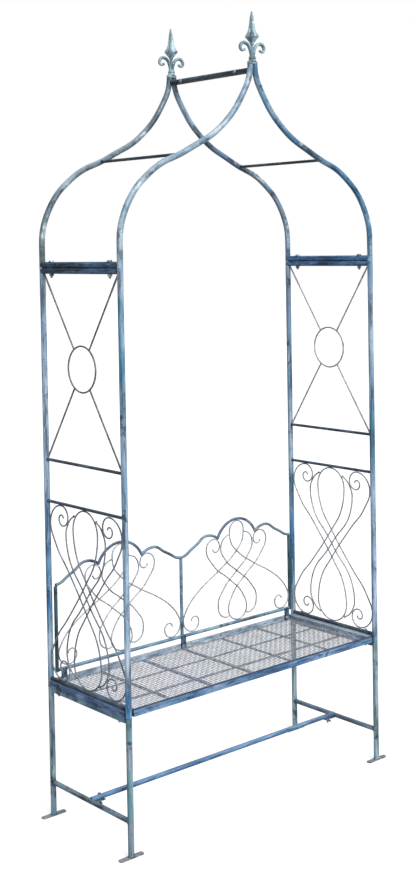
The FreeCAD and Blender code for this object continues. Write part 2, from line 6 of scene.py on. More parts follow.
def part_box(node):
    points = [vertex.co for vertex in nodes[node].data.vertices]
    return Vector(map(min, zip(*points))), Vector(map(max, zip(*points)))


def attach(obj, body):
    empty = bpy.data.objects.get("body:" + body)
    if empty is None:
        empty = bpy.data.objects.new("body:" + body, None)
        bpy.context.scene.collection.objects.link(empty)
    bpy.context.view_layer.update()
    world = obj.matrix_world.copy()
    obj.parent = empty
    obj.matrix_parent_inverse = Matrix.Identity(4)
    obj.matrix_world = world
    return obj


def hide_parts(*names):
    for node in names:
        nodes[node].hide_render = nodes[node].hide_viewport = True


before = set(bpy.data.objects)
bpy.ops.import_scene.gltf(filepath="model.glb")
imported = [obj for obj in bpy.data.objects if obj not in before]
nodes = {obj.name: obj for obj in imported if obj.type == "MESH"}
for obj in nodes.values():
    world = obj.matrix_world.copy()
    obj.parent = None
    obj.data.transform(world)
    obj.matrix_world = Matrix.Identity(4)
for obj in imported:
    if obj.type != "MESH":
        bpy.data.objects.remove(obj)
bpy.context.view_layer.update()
bpy.ops.object.select_all(action="DESELECT")


# ---- Camera and studio ----------------------------------------------------------------
# A camera at eye height, off the front left corner of the arch, with a normal lens.
# The arch stands on seamless white paper, under one broad lamp and a soft screen that
# fades round the room. The paper is lit from behind, so it shows hardly any shadow.
CAMERA_PLACE = (-2.9158, -3.3202, 1.8339)
CAMERA_HEADING = math.radians(41.02)
CAMERA_PITCH = math.radians(-1.80)
CAMERA_ROLL = math.radians(-0.98)
LENS_MM = 53.91
VIEW_SHIFT = -0.1727
SCREEN_SIDE = (-0.30, -0.80, 0.52)
SCREEN_EDGES = (-0.3, 0.95)                # where its light starts to rise and where it is full
SCREEN_LIGHT = (0.36, 0.95)                # how bright it is there
LAMP_LIGHT = 3.0
LAMP_WIDTH = math.radians(25)
LAMP_WAY = (0.10, 0.88, -0.66)
PAPER_SIZE = 80
PAPER_GREY = (0.45, 0.45, 0.45, 1)
PAPER_GLOW = 0.66

bpy.ops.object.camera_add(location=CAMERA_PLACE)
camera = bpy.context.object
camera.name = "studio_camera"
look = Vector((math.sin(CAMERA_HEADING) * math.cos(CAMERA_PITCH),
               math.cos(CAMERA_HEADING) * math.cos(CAMERA_PITCH),
               math.sin(CAMERA_PITCH)))
turn = look.to_track_quat("-Z", "Y") @ Quaternion((0, 0, 1), CAMERA_ROLL)
camera.rotation_euler = turn.to_euler()
camera.data.lens = LENS_MM
camera.data.sensor_width = 36.0
camera.data.shift_y = VIEW_SHIFT
camera.data.clip_end = 100.0
bpy.context.scene.camera = camera
bpy.context.scene.view_settings.view_transform = "Standard"

world = bpy.data.worlds.new("studio_world")
bpy.context.scene.world = world
world.use_nodes = True
sky = world.node_tree
sky.nodes.clear()
sky_output = sky.nodes.new("ShaderNodeOutputWorld")
sky_mix = sky.nodes.new("ShaderNodeMixShader")
seen = sky.nodes.new("ShaderNodeLightPath")
soft_light = sky.nodes.new("ShaderNodeBackground")
soft_light.inputs["Color"].default_value = (0.95, 0.97, 1.0, 1)
sky_place = sky.nodes.new("ShaderNodeTexCoord")
towards_screen = sky.nodes.new("ShaderNodeVectorMath")
towards_screen.operation = "DOT_PRODUCT"
towards_screen.inputs[1].default_value = SCREEN_SIDE
falloff = sky.nodes.new("ShaderNodeMapRange")
falloff.inputs["From Min"].default_value, falloff.inputs["From Max"].default_value = SCREEN_EDGES
falloff.inputs["To Min"].default_value, falloff.inputs["To Max"].default_value = SCREEN_LIGHT
sky.links.new(sky_place.outputs["Generated"], towards_screen.inputs[0])
sky.links.new(towards_screen.outputs["Value"], falloff.inputs["Value"])
sky.links.new(falloff.outputs["Result"], soft_light.inputs["Strength"])
backdrop = sky.nodes.new("ShaderNodeBackground")
backdrop.inputs["Color"].default_value = (1, 1, 1, 1)
backdrop.inputs["Strength"].default_value = 1.0
sky.links.new(seen.outputs["Is Camera Ray"], sky_mix.inputs[0])
sky.links.new(soft_light.outputs[0], sky_mix.inputs[1])
sky.links.new(backdrop.outputs[0], sky_mix.inputs[2])
sky.links.new(sky_mix.outputs[0], sky_output.inputs[0])

bpy.ops.object.light_add(type="SUN", location=(0, -3, 4))
lamp = bpy.context.object
lamp.name = "broad_soft_lamp"
lamp.data.energy = LAMP_LIGHT
lamp.data.angle = LAMP_WIDTH
lamp.rotation_euler = Vector(LAMP_WAY).to_track_quat("-Z", "Y").to_euler()

bpy.ops.mesh.primitive_plane_add(size=PAPER_SIZE)
floor = bpy.context.object
floor.name = "studio_floor"
paper = bpy.data.materials.new("lit_paper")
paper.use_nodes = True
paper_nodes = paper.node_tree.nodes
paper_shader = paper_nodes["Principled BSDF"]
paper_shader.inputs["Base Color"].default_value = PAPER_GREY
paper_shader.inputs["Roughness"].default_value = 0.9
paper_shader.inputs["Specular IOR Level"].default_value = 0.1
backlight = paper_nodes.new("ShaderNodeEmission")
backlight.inputs["Strength"].default_value = PAPER_GLOW
backlit = paper_nodes.new("ShaderNodeAddShader")
paper_mix = paper_nodes.new("ShaderNodeMixShader")
paper_seen = paper_nodes.new("ShaderNodeLightPath")
paper_links = paper.node_tree.links
paper_links.new(paper_shader.outputs[0], backlit.inputs[0])
paper_links.new(backlight.outputs[0], backlit.inputs[1])
paper_links.new(paper_seen.outputs["Is Camera Ray"], paper_mix.inputs[0])
paper_links.new(paper_shader.outputs[0], paper_mix.inputs[1])
paper_links.new(backlit.outputs[0], paper_mix.inputs[2])
paper_links.new(paper_mix.outputs[0], paper_nodes["Material Output"].inputs["Surface"])
floor.data.materials.append(paper)


# ---- Feet -----------------------------------------------------------------------------
# A flat bar, 90 by 18 by 4 mm with rounded corners, is welded across the end of each leg.
# Like all the steel it is primed dark and washed with paint by brush, then rubbed back by
# hand. The feet are scuffed to a mottled grey, brown in places and blue in others.
def colour(code):
    """Linear colour from a six-digit paint code."""
    parts = [int(code[i:i + 2], 16) / 255 for i in (0, 2, 4)]
    return [p / 12.92 if p <= 0.04045 else ((p + 0.055) / 1.055) ** 2.4 for p in parts] + [1.0]


class Paint:
    """Node tree of one paint, with short calls for the nodes that it needs."""

    def __init__(self, name):
        self.material = bpy.data.materials.new(name)
        self.material.use_nodes = True
        self.tree = self.material.node_tree
        self.surface = self.tree.nodes["Principled BSDF"]
        self.place = self.tree.nodes.new("ShaderNodeTexCoord").outputs["Object"]

    def stretched(self, scale):
        """Object coordinates, scaled so that a pattern runs along a bar."""
        node = self.tree.nodes.new("ShaderNodeMapping")
        node.inputs["Scale"].default_value = scale
        self.tree.links.new(self.place, node.inputs["Vector"])
        return node.outputs["Vector"]

    def upright(self, vector):
        """Third coordinate of a place or a normal."""
        node = self.tree.nodes.new("ShaderNodeSeparateXYZ")
        self.tree.links.new(vector, node.inputs[0])
        return node.outputs["Z"]

    def facing_up(self):
        """1 on a surface that faces up, -1 on one that faces down."""
        return self.upright(self.tree.nodes.new("ShaderNodeNewGeometry").outputs["Normal"])

    def noise(self, vector, scale, detail=4.0, roughness=0.6):
        """Mottled pattern, finer at a larger scale."""
        node = self.tree.nodes.new("ShaderNodeTexNoise")
        node.inputs["Scale"].default_value = scale
        node.inputs["Detail"].default_value = detail
        node.inputs["Roughness"].default_value = roughness
        self.tree.links.new(vector, node.inputs["Vector"])
        return node.outputs["Fac"]

    def spread(self, value, low, high, to_low, to_high):
        """Map a value smoothly from one range to another."""
        node = self.tree.nodes.new("ShaderNodeMapRange")
        node.interpolation_type = "SMOOTHSTEP"
        for name, number in (("From Min", low), ("From Max", high),
                             ("To Min", to_low), ("To Max", to_high)):
            node.inputs[name].default_value = number
        self.tree.links.new(value, node.inputs["Value"])
        return node.outputs["Result"]

    def blend(self, amount, under, over):
        """Mix two colours; either one may be a plain colour."""
        node = self.tree.nodes.new("ShaderNodeMix")
        node.data_type = "RGBA"
        self.tree.links.new(amount, node.inputs["Factor"])
        for shade, socket in ((under, node.inputs[6]), (over, node.inputs[7])):
            if isinstance(shade, list):
                socket.default_value = shade
            else:
                self.tree.links.new(shade, socket)
        return node.outputs[2]

    def laid(self, base, shade, pattern, low, high, most):
        """Lay a colour over a base where a pattern rises from low to high."""
        return self.blend(self.spread(pattern, low, high, 0.0, most), base, shade)

    def relief(self, height, strength, distance, under=None):
        """Small bumps in the surface, over other bumps if there are any."""
        node = self.tree.nodes.new("ShaderNodeBump")
        node.inputs["Strength"].default_value = strength
        node.inputs["Distance"].default_value = distance
        self.tree.links.new(height, node.inputs["Height"])
        if under is not None:
            self.tree.links.new(under, node.inputs["Normal"])
        return node.outputs["Normal"]

    def finish(self, base, roughness, normal, metallic):
        """Set the shader's sockets and give back the material."""
        self.tree.links.new(base, self.surface.inputs["Base Color"])
        self.tree.links.new(roughness, self.surface.inputs["Roughness"])
        self.tree.links.new(normal, self.surface.inputs["Normal"])
        self.surface.inputs["Metallic"].default_value = metallic
        self.surface.inputs["Specular IOR Level"].default_value = 0.4
        return self.material


def rubbed_paint(name, dark, body, bright, rub, drift=None, streak=(1, 1, 1), patches=0.58,
                 rubs=0.62, low_body=None, heights=(0.4, 1.4), top=None, metallic=0.15):
    """Brushed paint over a dark ground, rubbed back by hand.

    drift is a second wash that takes over in long stretches, and streak stretches the
    brush marks along a bar. patches and rubs are thresholds: higher leaves less bare
    ground or less pale rub. low_body is the wash below the given heights, and top is
    dirt and painted shade on faces that look up.
    """
    paint = Paint(name)
    place = paint.place
    brushed = paint.stretched(streak)
    brush_and_painted_light_lines = paint.noise(paint.stretched([scale ** 2 for scale in streak]), 130.0, 3.0, 0.6)
    worn = paint.noise(brushed, 52.0, 10.0, 0.78)
    up = paint.facing_up()

    # The wash itself, which may differ low down and along the bar.
    wash = body
    if low_body is not None:
        wash = paint.laid(low_body, body, paint.upright(place), *heights, 1.0)
    if drift is not None:
        wash = paint.laid(wash, drift, paint.noise(place, 3.7, 2.0), 0.44, 0.60, 1.0)

    # Brush marks, then the dark ground in stretches, in specks and in bare patches.
    base = paint.laid(wash, bright, paint.noise(brushed, 21.0, 5.0, 0.62), 0.40, 0.66, 1.0)
    base = paint.laid(base, dark, paint.noise(brushed, 34.0, 7.0, 0.7), 0.46, 0.70, 0.85)
    base = paint.laid(base, dark, paint.noise(place, 190.0, 4.0, 0.7), 0.50, 0.74, 0.55)
    base = paint.laid(base, dark, paint.noise(place, 13.0, 9.0, 0.72), patches, patches + 0.05, 0.9)

    # Fine brush lines that also paint highlights and shade along the bar, and the pale rubs.
    base = paint.blend(paint.spread(brush_and_painted_light_lines, 0.36, 0.47, 0.70, 0.0), base, dark)
    base = paint.laid(base, rub, brush_and_painted_light_lines, 0.57, 0.70, 0.55)
    base = paint.laid(base, rub, worn, rubs, rubs + 0.09, 0.85)

    # Paler on top, or dirt and painted shade in the top colour, and painted shade underneath.
    if top is None:
        base = paint.laid(base, rub, up, 0.35, 1.0, 0.30)
    else:
        base = paint.laid(base, top, up, 0.35, 0.9, 0.85)
    base = paint.blend(paint.spread(up, -1.0, -0.2, 0.45, 0.0), base, dark)

    roughness = paint.spread(worn, 0.3, 0.7, 0.60, 0.36)
    grain = paint.relief(paint.noise(place, 900.0, 3.0), 0.22, 0.0004)
    normal = paint.relief(worn, 0.4, 0.0009, grain)
    return paint.finish(base, roughness, normal, metallic)


def coat(material, *names):
    """Give CAD nodes a new finish."""
    for name in names:
        nodes[name].data.materials.clear()
        nodes[name].data.materials.append(material)


def only(piece):
    """Select one piece and make it the active one."""
    bpy.ops.object.select_all(action="DESELECT")
    piece.select_set(True)
    bpy.context.view_layer.objects.active = piece


def closed(piece, angle=40):
    """Finish a piece: place in its mesh, faces outwards, smooth between its sharp edges."""
    only(piece)
    bpy.ops.object.transform_apply(location=True, rotation=True, scale=True)
    bpy.ops.object.mode_set(mode="EDIT")
    bpy.ops.mesh.select_all(action="SELECT")
    bpy.ops.mesh.normals_make_consistent(inside=False)
    bpy.ops.mesh.select_all(action="DESELECT")
    bpy.ops.object.mode_set(mode="OBJECT")
    bpy.ops.object.shade_smooth_by_angle(angle=math.radians(angle))
    return piece


def copied(piece, move=(0, 0, 0), flip=(1, 1, 1), turned=(0, 0, 0)):
    """Copy with its own mesh: mirrored and turned about the origin, then moved."""
    only(piece)
    bpy.ops.object.duplicate(linked=False)
    twin = bpy.context.object
    twin.scale = flip
    twin.rotation_euler = turned
    twin.location = move
    return closed(twin)


def joined(name, parts, material, slot, *replaced):
    """Join parts into one named piece of the object, with its finish."""
    bpy.ops.object.select_all(action="DESELECT")
    for part in parts:
        part.select_set(True)
    bpy.context.view_layer.objects.active = parts[0]
    bpy.ops.object.join()
    piece = bpy.context.object
    piece.name = name
    piece.data.name = name
    piece.data.materials.clear()
    piece.data.materials.append(material)
    bpy.ops.object.select_all(action="DESELECT")
    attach(piece, "root")
    if replaced:
        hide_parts(*replaced)
    return piece


def removed(*parts):
    """Take away a pattern piece once its copies are made."""
    for part in parts:
        only(part)
        bpy.ops.object.delete()


def pick(piece, chosen):
    """Open a piece for editing with only the vertices selected that pass a test."""
    only(piece)
    for part in (*piece.data.edges, *piece.data.polygons):
        part.select = False
    for vertex in piece.data.vertices:
        vertex.select = chosen(vertex)
    bpy.ops.object.mode_set(mode="EDIT")
    bpy.ops.mesh.select_mode(type="VERT")


BEAD_COLUMNS = 20
BEAD_SIDES = 6


def weld_bead(name, bar_radius, bead_radius, post_radius=0.0, seed=1):
    """Rough ring of weld metal round the end of a bar.

    With no post radius it lies flat round an upright bar. With one it goes round a bar
    that runs along Y, and bends back over the round post that the bar ends on.
    """
    along_y = post_radius > 0
    bpy.ops.mesh.primitive_torus_add(major_segments=BEAD_COLUMNS, minor_segments=BEAD_SIDES,
                                     major_radius=bar_radius + bead_radius / 4,
                                     minor_radius=bead_radius,
                                     rotation=(math.pi / 2 if along_y else 0, 0, 0))
    bead = bpy.context.object
    bead.name = name
    closed(bead, angle=80)
    if along_y:
        for first in range(0, BEAD_COLUMNS * BEAD_SIDES, BEAD_SIDES):
            column = range(first, first + BEAD_SIDES)
            side = sum(abs(bead.data.vertices[k].co.x) for k in column) / BEAD_SIDES
            sag = post_radius - math.sqrt(max(post_radius ** 2 - side ** 2, 0.0))
            pick(bead, lambda vertex: vertex.index in column)
            bpy.ops.transform.translate(value=(0, -sag, 0))
            bpy.ops.object.mode_set(mode="OBJECT")
    bpy.ops.object.mode_set(mode="EDIT")
    bpy.ops.mesh.select_all(action="SELECT")
    bpy.ops.transform.vertex_random(offset=bead_radius / 5, uniform=1.0, seed=seed)
    bpy.ops.mesh.select_all(action="DESELECT")
    bpy.ops.object.mode_set(mode="OBJECT")
    return bead


def middle(name):
    """Middle of a CAD node's box."""
    low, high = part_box(name)
    return (low + high) / 2


LEGS = ("leg_front_left", "leg_front_right", "leg_back_left", "leg_back_right")
FOOT_BEAD_R = 0.0016
foot_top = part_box("foot_plates")[1].z
leg_low, leg_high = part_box("leg_front_left")
tube_radius = (leg_high.x - leg_low.x) / 2

foot_paint = rubbed_paint("foot_paint", colour("3c3d45"), colour("6c7078"), colour("8f9298"),
                          colour("b3b1b0"), drift=colour("57718c"), patches=0.56, rubs=0.60)
coat(foot_paint, "foot_plates")
weld_paint = rubbed_paint("weld_paint", colour("1b2127"), colour("35495a"), colour("5d7688"),
                          colour("8f9ba2"), drift=colour("4a4a48"), patches=0.54, rubs=0.62,
                          metallic=0.3)
foot_bead = weld_bead("foot_bead", tube_radius, FOOT_BEAD_R)
joined("foot_welds", [copied(foot_bead, (middle(leg).x, middle(leg).y, foot_top)) for leg in LEGS],
       weld_paint, "foot_paint")
removed(foot_bead)


# ---- Legs and rails -------------------------------------------------------------------
# Four straight legs of 19 mm tube, tied front to back by a square bar under the seat and
# a round rail near the ground. The wash is teal over grey, worn near the ground, and the
# rails stay darker. Every bar is welded all round to its legs.
leg_paint = rubbed_paint("leg_paint", colour("2b373d"), colour("5c8592"), colour("90aeb6"),
                         colour("c0c8cd"), drift=colour("768796"), streak=(1, 1, 0.25),
                         patches=0.57, rubs=0.61)
coat(leg_paint, *LEGS)
rail_paint = rubbed_paint("rail_paint", colour("232c36"), colour("48647c"), colour("7690a4"),
                          colour("9dabb6"), drift=colour("5c6f80"), streak=(1, 0.35, 1),
                          patches=0.56, rubs=0.64)
coat(rail_paint, "leg_cross_rail_left", "leg_cross_rail_right")
leg_top_paint = rubbed_paint("leg_top_paint", colour("2c3a48"), colour("557a92"), colour("86a3b2"),
                             colour("bac6d0"), streak=(1, 0.4, 1), patches=0.58, rubs=0.61)
coat(leg_top_paint, "leg_top_bars")
RAIL_BEAD_R = 0.0017
post_inside = middle("leg_back_left").y - tube_radius


def both_ends(bead, x, z):
    """A weld bead at the front and at the back end of a bar that runs between two posts."""
    return [copied(bead, (x, -post_inside, z)),
            copied(bead, (x, post_inside, z), flip=(1, -1, 1))]


def bar_beads(bead, *bars):
    """The beads of several bars, each at the middle height of its bar."""
    return [end for bar in bars for end in both_ends(bead, middle(bar).x, middle(bar).z)]


rail_low, rail_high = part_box("leg_cross_rail_left")
rail_radius = (rail_high.z - rail_low.z) / 2
rail_bead = weld_bead("rail_bead", rail_radius, RAIL_BEAD_R, tube_radius, seed=2)
joined("leg_rail_welds", bar_beads(rail_bead, "leg_cross_rail_left", "leg_cross_rail_right"),
       weld_paint, "tube_paint")
removed(rail_bead)


# ---- Stretcher ------------------------------------------------------------------------
# One tube between the two rails. It rests on a small lug welded to each rail and is held
# by a bolt with a wing nut, so it comes out by hand. It keeps the clearest blue of all.
stretcher_paint = rubbed_paint("stretcher_paint", colour("1e2d42"), colour("386896"),
                               colour("6089b0"), colour("93a9c4"), drift=colour("44637f"),
                               streak=(0.30, 1, 1), patches=0.60, rubs=0.66)
coat(stretcher_paint, "stretcher")
coat(rail_paint, "stretcher_lugs")
wing_paint = rubbed_paint("wing_paint", colour("1a2230"), colour("3a5b7c"), colour("7d97ac"),
                          colour("b4bec8"), patches=0.56, rubs=0.60, metallic=0.4)
coat(wing_paint, "stretcher_bolts", "stretcher_wing_nuts")


# ---- Seat frame -----------------------------------------------------------------------
# Rectangular tube, 12 by 20 mm at the front and back and 40 by 20 mm at the sides.
# Sitting has polished the paint: the outer faces are blue, the inner ones a pale
# grey-blue, and dirt and painted shade darken the top of the front edge.
seat_front_paint = rubbed_paint("seat_front_paint", colour("1c2a42"), colour("466c94"),
                                colour("7895b6"), colour("b0bcd2"), drift=colour("55799c"),
                                streak=(0.30, 1, 1), patches=0.63, rubs=0.64,
                                top=colour("2a3852"))
coat(seat_front_paint, "seat_front_rail")
seat_pale_paint = rubbed_paint("seat_pale_paint", colour("44525f"), colour("8093a4"),
                               colour("aab9c6"), colour("d0d6de"), streak=(0.5, 0.5, 1),
                               patches=0.59, rubs=0.58)
coat(seat_pale_paint, "seat_back_rail", "seat_side_rail_right")
seat_side_paint = rubbed_paint("seat_side_paint", colour("1b2538"), colour("375780"),
                               colour("6685ac"), colour("93a4c2"), streak=(1, 0.35, 1),
                               patches=0.55, rubs=0.66)
coat(seat_side_paint, "seat_side_rail_left")
support_paint = rubbed_paint("support_paint", colour("3f4856"), colour("66727f"), colour("8c97a4"),
                             colour("bcc3cc"), patches=0.60, rubs=0.60)
coat(support_paint, "seat_depth_bars", "seat_length_bars")


# ---- Seat mesh ------------------------------------------------------------------------
# Crimped 2 mm wire, woven at a 12 mm pitch: each wire passes over one neighbour and
# under the next, and its ends are welded to the inside of the seat frame.
WIRE_R = 0.001
WIRE_SIDES = 6
WEAVE_PITCH = 0.012
CRIMP = 2 * WEAVE_PITCH
STEPS_PER_PITCH = 4

long_low, long_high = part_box("seat_mesh_long_wires")
cross_low, cross_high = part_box("seat_mesh_cross_wires")
mesh_middle = (long_low.z + cross_high.z) / 2
first_long_y = long_low.y + WIRE_R
first_cross_x = cross_low.x + WIRE_R
long_rows = round((long_high.y - long_low.y - 2 * WIRE_R) / WEAVE_PITCH) + 1
cross_rows = round((cross_high.x - cross_low.x - 2 * WIRE_R) / WEAVE_PITCH) + 1


def along_axis(axis, amount, rise=0.0):
    """A move along X, axis 0, or along Y, axis 1, with a rise."""
    move = [0.0, 0.0, rise]
    move[axis] = amount
    return move


def woven_wires(name, axis, start, first_row, crimps, rows, first_way, tail):
    """Every second wire of one direction, as one crimped wire that is copied sideways.

    The wires run along the axis from the start, for a number of crimps, and the first one
    is at first_row. Each begins upwards or downwards, and has a straight tail at its ends.
    """
    spot = [first_row, first_row, mesh_middle]
    spot[axis] = start
    bpy.ops.mesh.primitive_circle_add(
        vertices=WIRE_SIDES, radius=WIRE_R, location=spot,
        rotation=(0, math.pi / 2, 0) if axis == 0 else (math.pi / 2, 0, 0))
    wire = bpy.context.object
    wire.name = name
    bpy.ops.object.mode_set(mode="EDIT")
    height = 0.0
    for k in range(1, 2 * STEPS_PER_PITCH + 1):
        new_height = first_way * WIRE_R * math.sin(math.pi * k / STEPS_PER_PITCH)
        move = along_axis(axis, WEAVE_PITCH / STEPS_PER_PITCH, new_height - height)
        bpy.ops.mesh.extrude_region_move(TRANSFORM_OT_translate={"value": move})
        height = new_height
    bpy.ops.object.mode_set(mode="OBJECT")
    bpy.ops.object.transform_apply(location=True, rotation=True, scale=True)
    for way, count in ((axis, crimps), (1 - axis, rows)):
        array = wire.modifiers.new("repeat", "ARRAY")
        array.count = count
        array.use_relative_offset = False
        array.use_constant_offset = True
        array.constant_offset_displace = along_axis(way, CRIMP)
        array.use_merge_vertices = way == axis
        array.merge_threshold = WIRE_R / 20
        bpy.ops.object.modifier_apply(modifier=array.name)
    for way, end in ((-1, start), (1, start + crimps * CRIMP)):
        pick(wire, lambda vertex: abs(vertex.co[axis] - end) < WIRE_R / 10)
        move = along_axis(axis, way * tail)
        bpy.ops.mesh.extrude_region_move(TRANSFORM_OT_translate={"value": move})
        bpy.ops.object.mode_set(mode="OBJECT")
    bpy.ops.object.mode_set(mode="EDIT")
    bpy.ops.mesh.select_all(action="SELECT")
    bpy.ops.mesh.fill_holes(sides=WIRE_SIDES)
    bpy.ops.object.mode_set(mode="OBJECT")
    return closed(wire, angle=70)


long_start = first_cross_x - WEAVE_PITCH / 2
cross_start = first_long_y - WEAVE_PITCH / 2
long_wires = []
cross_wires = []
for k, way in ((0, 1), (1, -1)):
    long_wires.append(woven_wires("long_wires", 0, long_start, first_long_y + k * WEAVE_PITCH,
                                  cross_rows // 2, long_rows // 2, way,
                                  long_start - long_low.x))
    cross_wires.append(woven_wires("cross_wires", 1, cross_start, first_cross_x + k * WEAVE_PITCH,
                                   long_rows // 2, cross_rows // 2, -way,
                                   cross_start - cross_low.y))
mesh_paint = rubbed_paint("mesh_paint", colour("50555f"), colour("80868f"), colour("a6abb4"),
                          colour("d6d8de"), drift=colour("8388a2"), patches=0.62, rubs=0.57)
joined("seat_woven_long_wires", long_wires, mesh_paint, "mesh_wire", "seat_mesh_long_wires")
joined("seat_woven_cross_wires", cross_wires, mesh_paint, "mesh_wire", "seat_mesh_cross_wires")


# ---- Back panel -----------------------------------------------------------------------
# Three bars, a bottom rail and two waved top rails of solid rod, bent like an eyebrow
# over each bay, with scrolls of 5 mm rod between them. It hangs on three tabs bolted to
# the seat. Blue over dark, with indigo in places on the waved rails.
panel_paint = rubbed_paint("panel_paint", colour("26323c"), colour("5b8298"), colour("86a6b6"),
                           colour("b0bcc8"), streak=(0.35, 1, 0.35), patches=0.57, rubs=0.62)
coat(panel_paint, "back_panel_bottom_rail", "back_panel_post_centre")
wave_paint = rubbed_paint("wave_paint", colour("2a3038"), colour("57707e"), colour("7d94a0"),
                          colour("a8b1bc"), drift=colour("485a86"), streak=(0.35, 1, 0.35),
                          patches=0.58, rubs=0.64)
coat(wave_paint, "back_panel_top_rails")
dark_post_paint = rubbed_paint("dark_post_paint", colour("1a2126"), colour("33505a"),
                               colour("527484"), colour("8898a2"), streak=(1, 1, 0.35),
                               patches=0.53, rubs=0.66)
coat(dark_post_paint, "back_panel_post_left", "back_panel_post_right")
tab_paint = rubbed_paint("tab_paint", colour("151c28"), colour("2c3f58"), colour("4f6a86"),
                         colour("8494a6"), patches=0.55, rubs=0.66)
coat(tab_paint, "back_panel_tabs")


# ---- Scroll rods ----------------------------------------------------------------------
# 5 mm round rod, bent cold into loops and curls and spot welded wherever the rods touch
# each other or the frame. The thin wash has gone grey-brown, darker on the left side.
scroll_paint = rubbed_paint("scroll_paint", colour("535254"), colour("939295"), colour("b0b1b5"),
                            colour("d2cfcb"), drift=colour("95a0aa"), patches=0.60, rubs=0.62)
coat(scroll_paint, "side_scroll_loops_right", "side_scroll_middles_right",
     "back_panel_scroll_loops", "back_panel_scroll_middles")
dark_scroll_paint = rubbed_paint("dark_scroll_paint", colour("383b3e"), colour("6a7077"),
                                 colour("8f959b"), colour("b6b8ba"), drift=colour("707a88"),
                                 patches=0.58, rubs=0.64)
coat(dark_scroll_paint, "side_scroll_loops_left", "side_scroll_middles_left")

SPOT_WELD_R = 0.0030
SPOT_WELD_SHAPE = (1.15, 1.0, 0.85)
SCROLL_ROD_R = 0.0025
SIDE_CURL_R = 0.062
SIDE_CROSSING = (0.061, 0.257)             # across and up from a side panel's centre
BAY_CROSSINGS = (0.655, 0.728)             # heights in the middle of a bay
BAY_CURL_R = 0.041

bpy.ops.mesh.primitive_ico_sphere_add(subdivisions=2, radius=SPOT_WELD_R)
spot_weld = bpy.context.object
bpy.ops.object.mode_set(mode="EDIT")
bpy.ops.mesh.select_all(action="SELECT")
bpy.ops.transform.resize(value=SPOT_WELD_SHAPE, center_override=(0, 0, 0))
bpy.ops.transform.vertex_random(offset=SPOT_WELD_R / 4, uniform=1.0, seed=7)
bpy.ops.object.mode_set(mode="OBJECT")
closed(spot_weld, angle=80)

spots = []
for name in ("side_scroll_loops_left", "side_scroll_loops_right"):
    low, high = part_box(name)
    centre = (low + high) / 2
    reach = (high.y - low.y) / 2 - SCROLL_ROD_R
    for way in (-1, 1):
        edge = centre.z + way * (high.z - low.z) / 2
        spots.append((centre.x, 0, edge))
        curl = edge - way * (SCROLL_ROD_R + SIDE_CURL_R)
        spots += [(centre.x, -reach - SCROLL_ROD_R, curl), (centre.x, reach + SCROLL_ROD_R, curl)]
        for across in (-SIDE_CROSSING[0], SIDE_CROSSING[0]):
            spots.append((centre.x, across, centre.z + way * SIDE_CROSSING[1]))
    spots.append((centre.x, 0, centre.z))
loops_low, loops_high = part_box("back_panel_scroll_loops")
bay_y = (loops_low.y + loops_high.y) / 2
bay_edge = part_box("back_panel_post_centre")[1].x
for way in (-1, 1):
    bay_middle = way * (loops_high.x + bay_edge) / 2
    spots += [(bay_middle, bay_y, loops_low.z), (bay_middle, bay_y, loops_high.z)]
    spots += [(bay_middle, bay_y, height) for height in BAY_CROSSINGS]
    curl = loops_low.z + SCROLL_ROD_R + BAY_CURL_R
    spots += [(way * bay_edge, bay_y, curl), (way * loops_high.x, bay_y, curl)]
joined("scroll_spot_welds", [copied(spot_weld, spot) for spot in spots], weld_paint, "scroll_rod")


# ---- Posts ----------------------------------------------------------------------------
# Four straight posts of 19 mm tube, from the seat frame up to the arch joint. Their wash
# is a clear blue near the seat and greyer, with lavender, towards the top.
post_paint = rubbed_paint("post_paint", colour("25323f"), colour("7590aa"), colour("a6bace"),
                          colour("d2d8e8"), drift=colour("4f829f"), streak=(1, 1, 0.22),
                          patches=0.59, rubs=0.60, low_body=colour("2f73a6"),
                          heights=(0.60, 1.20))
coat(post_paint, "side_post_front_left", "side_post_front_right",
     "side_post_back_left", "side_post_back_right")
SEAM_BEAD_R = 0.0008
seam_bead = weld_bead("seam_bead", tube_radius, SEAM_BEAD_R, seed=3)
joined("post_seams", [copied(seam_bead, (middle(leg).x, middle(leg).y, leg_high.z)) for leg in LEGS],
       weld_paint, "tube_paint")
removed(seam_bead)


# ---- Side panel bars ------------------------------------------------------------------
# Plain 10 mm bars between the posts and a 12 mm bar below them, with a ring and four
# diagonals of 6 mm rod above, all welded. Nearly black, with a thin blue wash.
side_bar_paint = rubbed_paint("side_bar_paint", colour("1b2027"), colour("384654"), colour("53687a"),
                              colour("838e9a"), streak=(1, 0.4, 1), patches=0.54, rubs=0.65)
coat(side_bar_paint, "side_cross_bars_left", "side_cross_bars_right",
     "side_bottom_bar_left", "side_bottom_bar_right")
ring_paint = rubbed_paint("ring_paint", colour("34373b"), colour("636a70"), colour("858c92"),
                          colour("aaaaaa"), drift=colour("6e6a66"), patches=0.58, rubs=0.63)
coat(ring_paint, "side_ring_left", "side_diagonals_left")
pale_ring_paint = rubbed_paint("pale_ring_paint", colour("5e6165"), colour("9b9fa4"),
                               colour("b6babd"), colour("cfcfcd"), drift=colour("a3a09c"),
                               patches=0.60, rubs=0.62)
coat(pale_ring_paint, "side_ring_right", "side_diagonals_right")

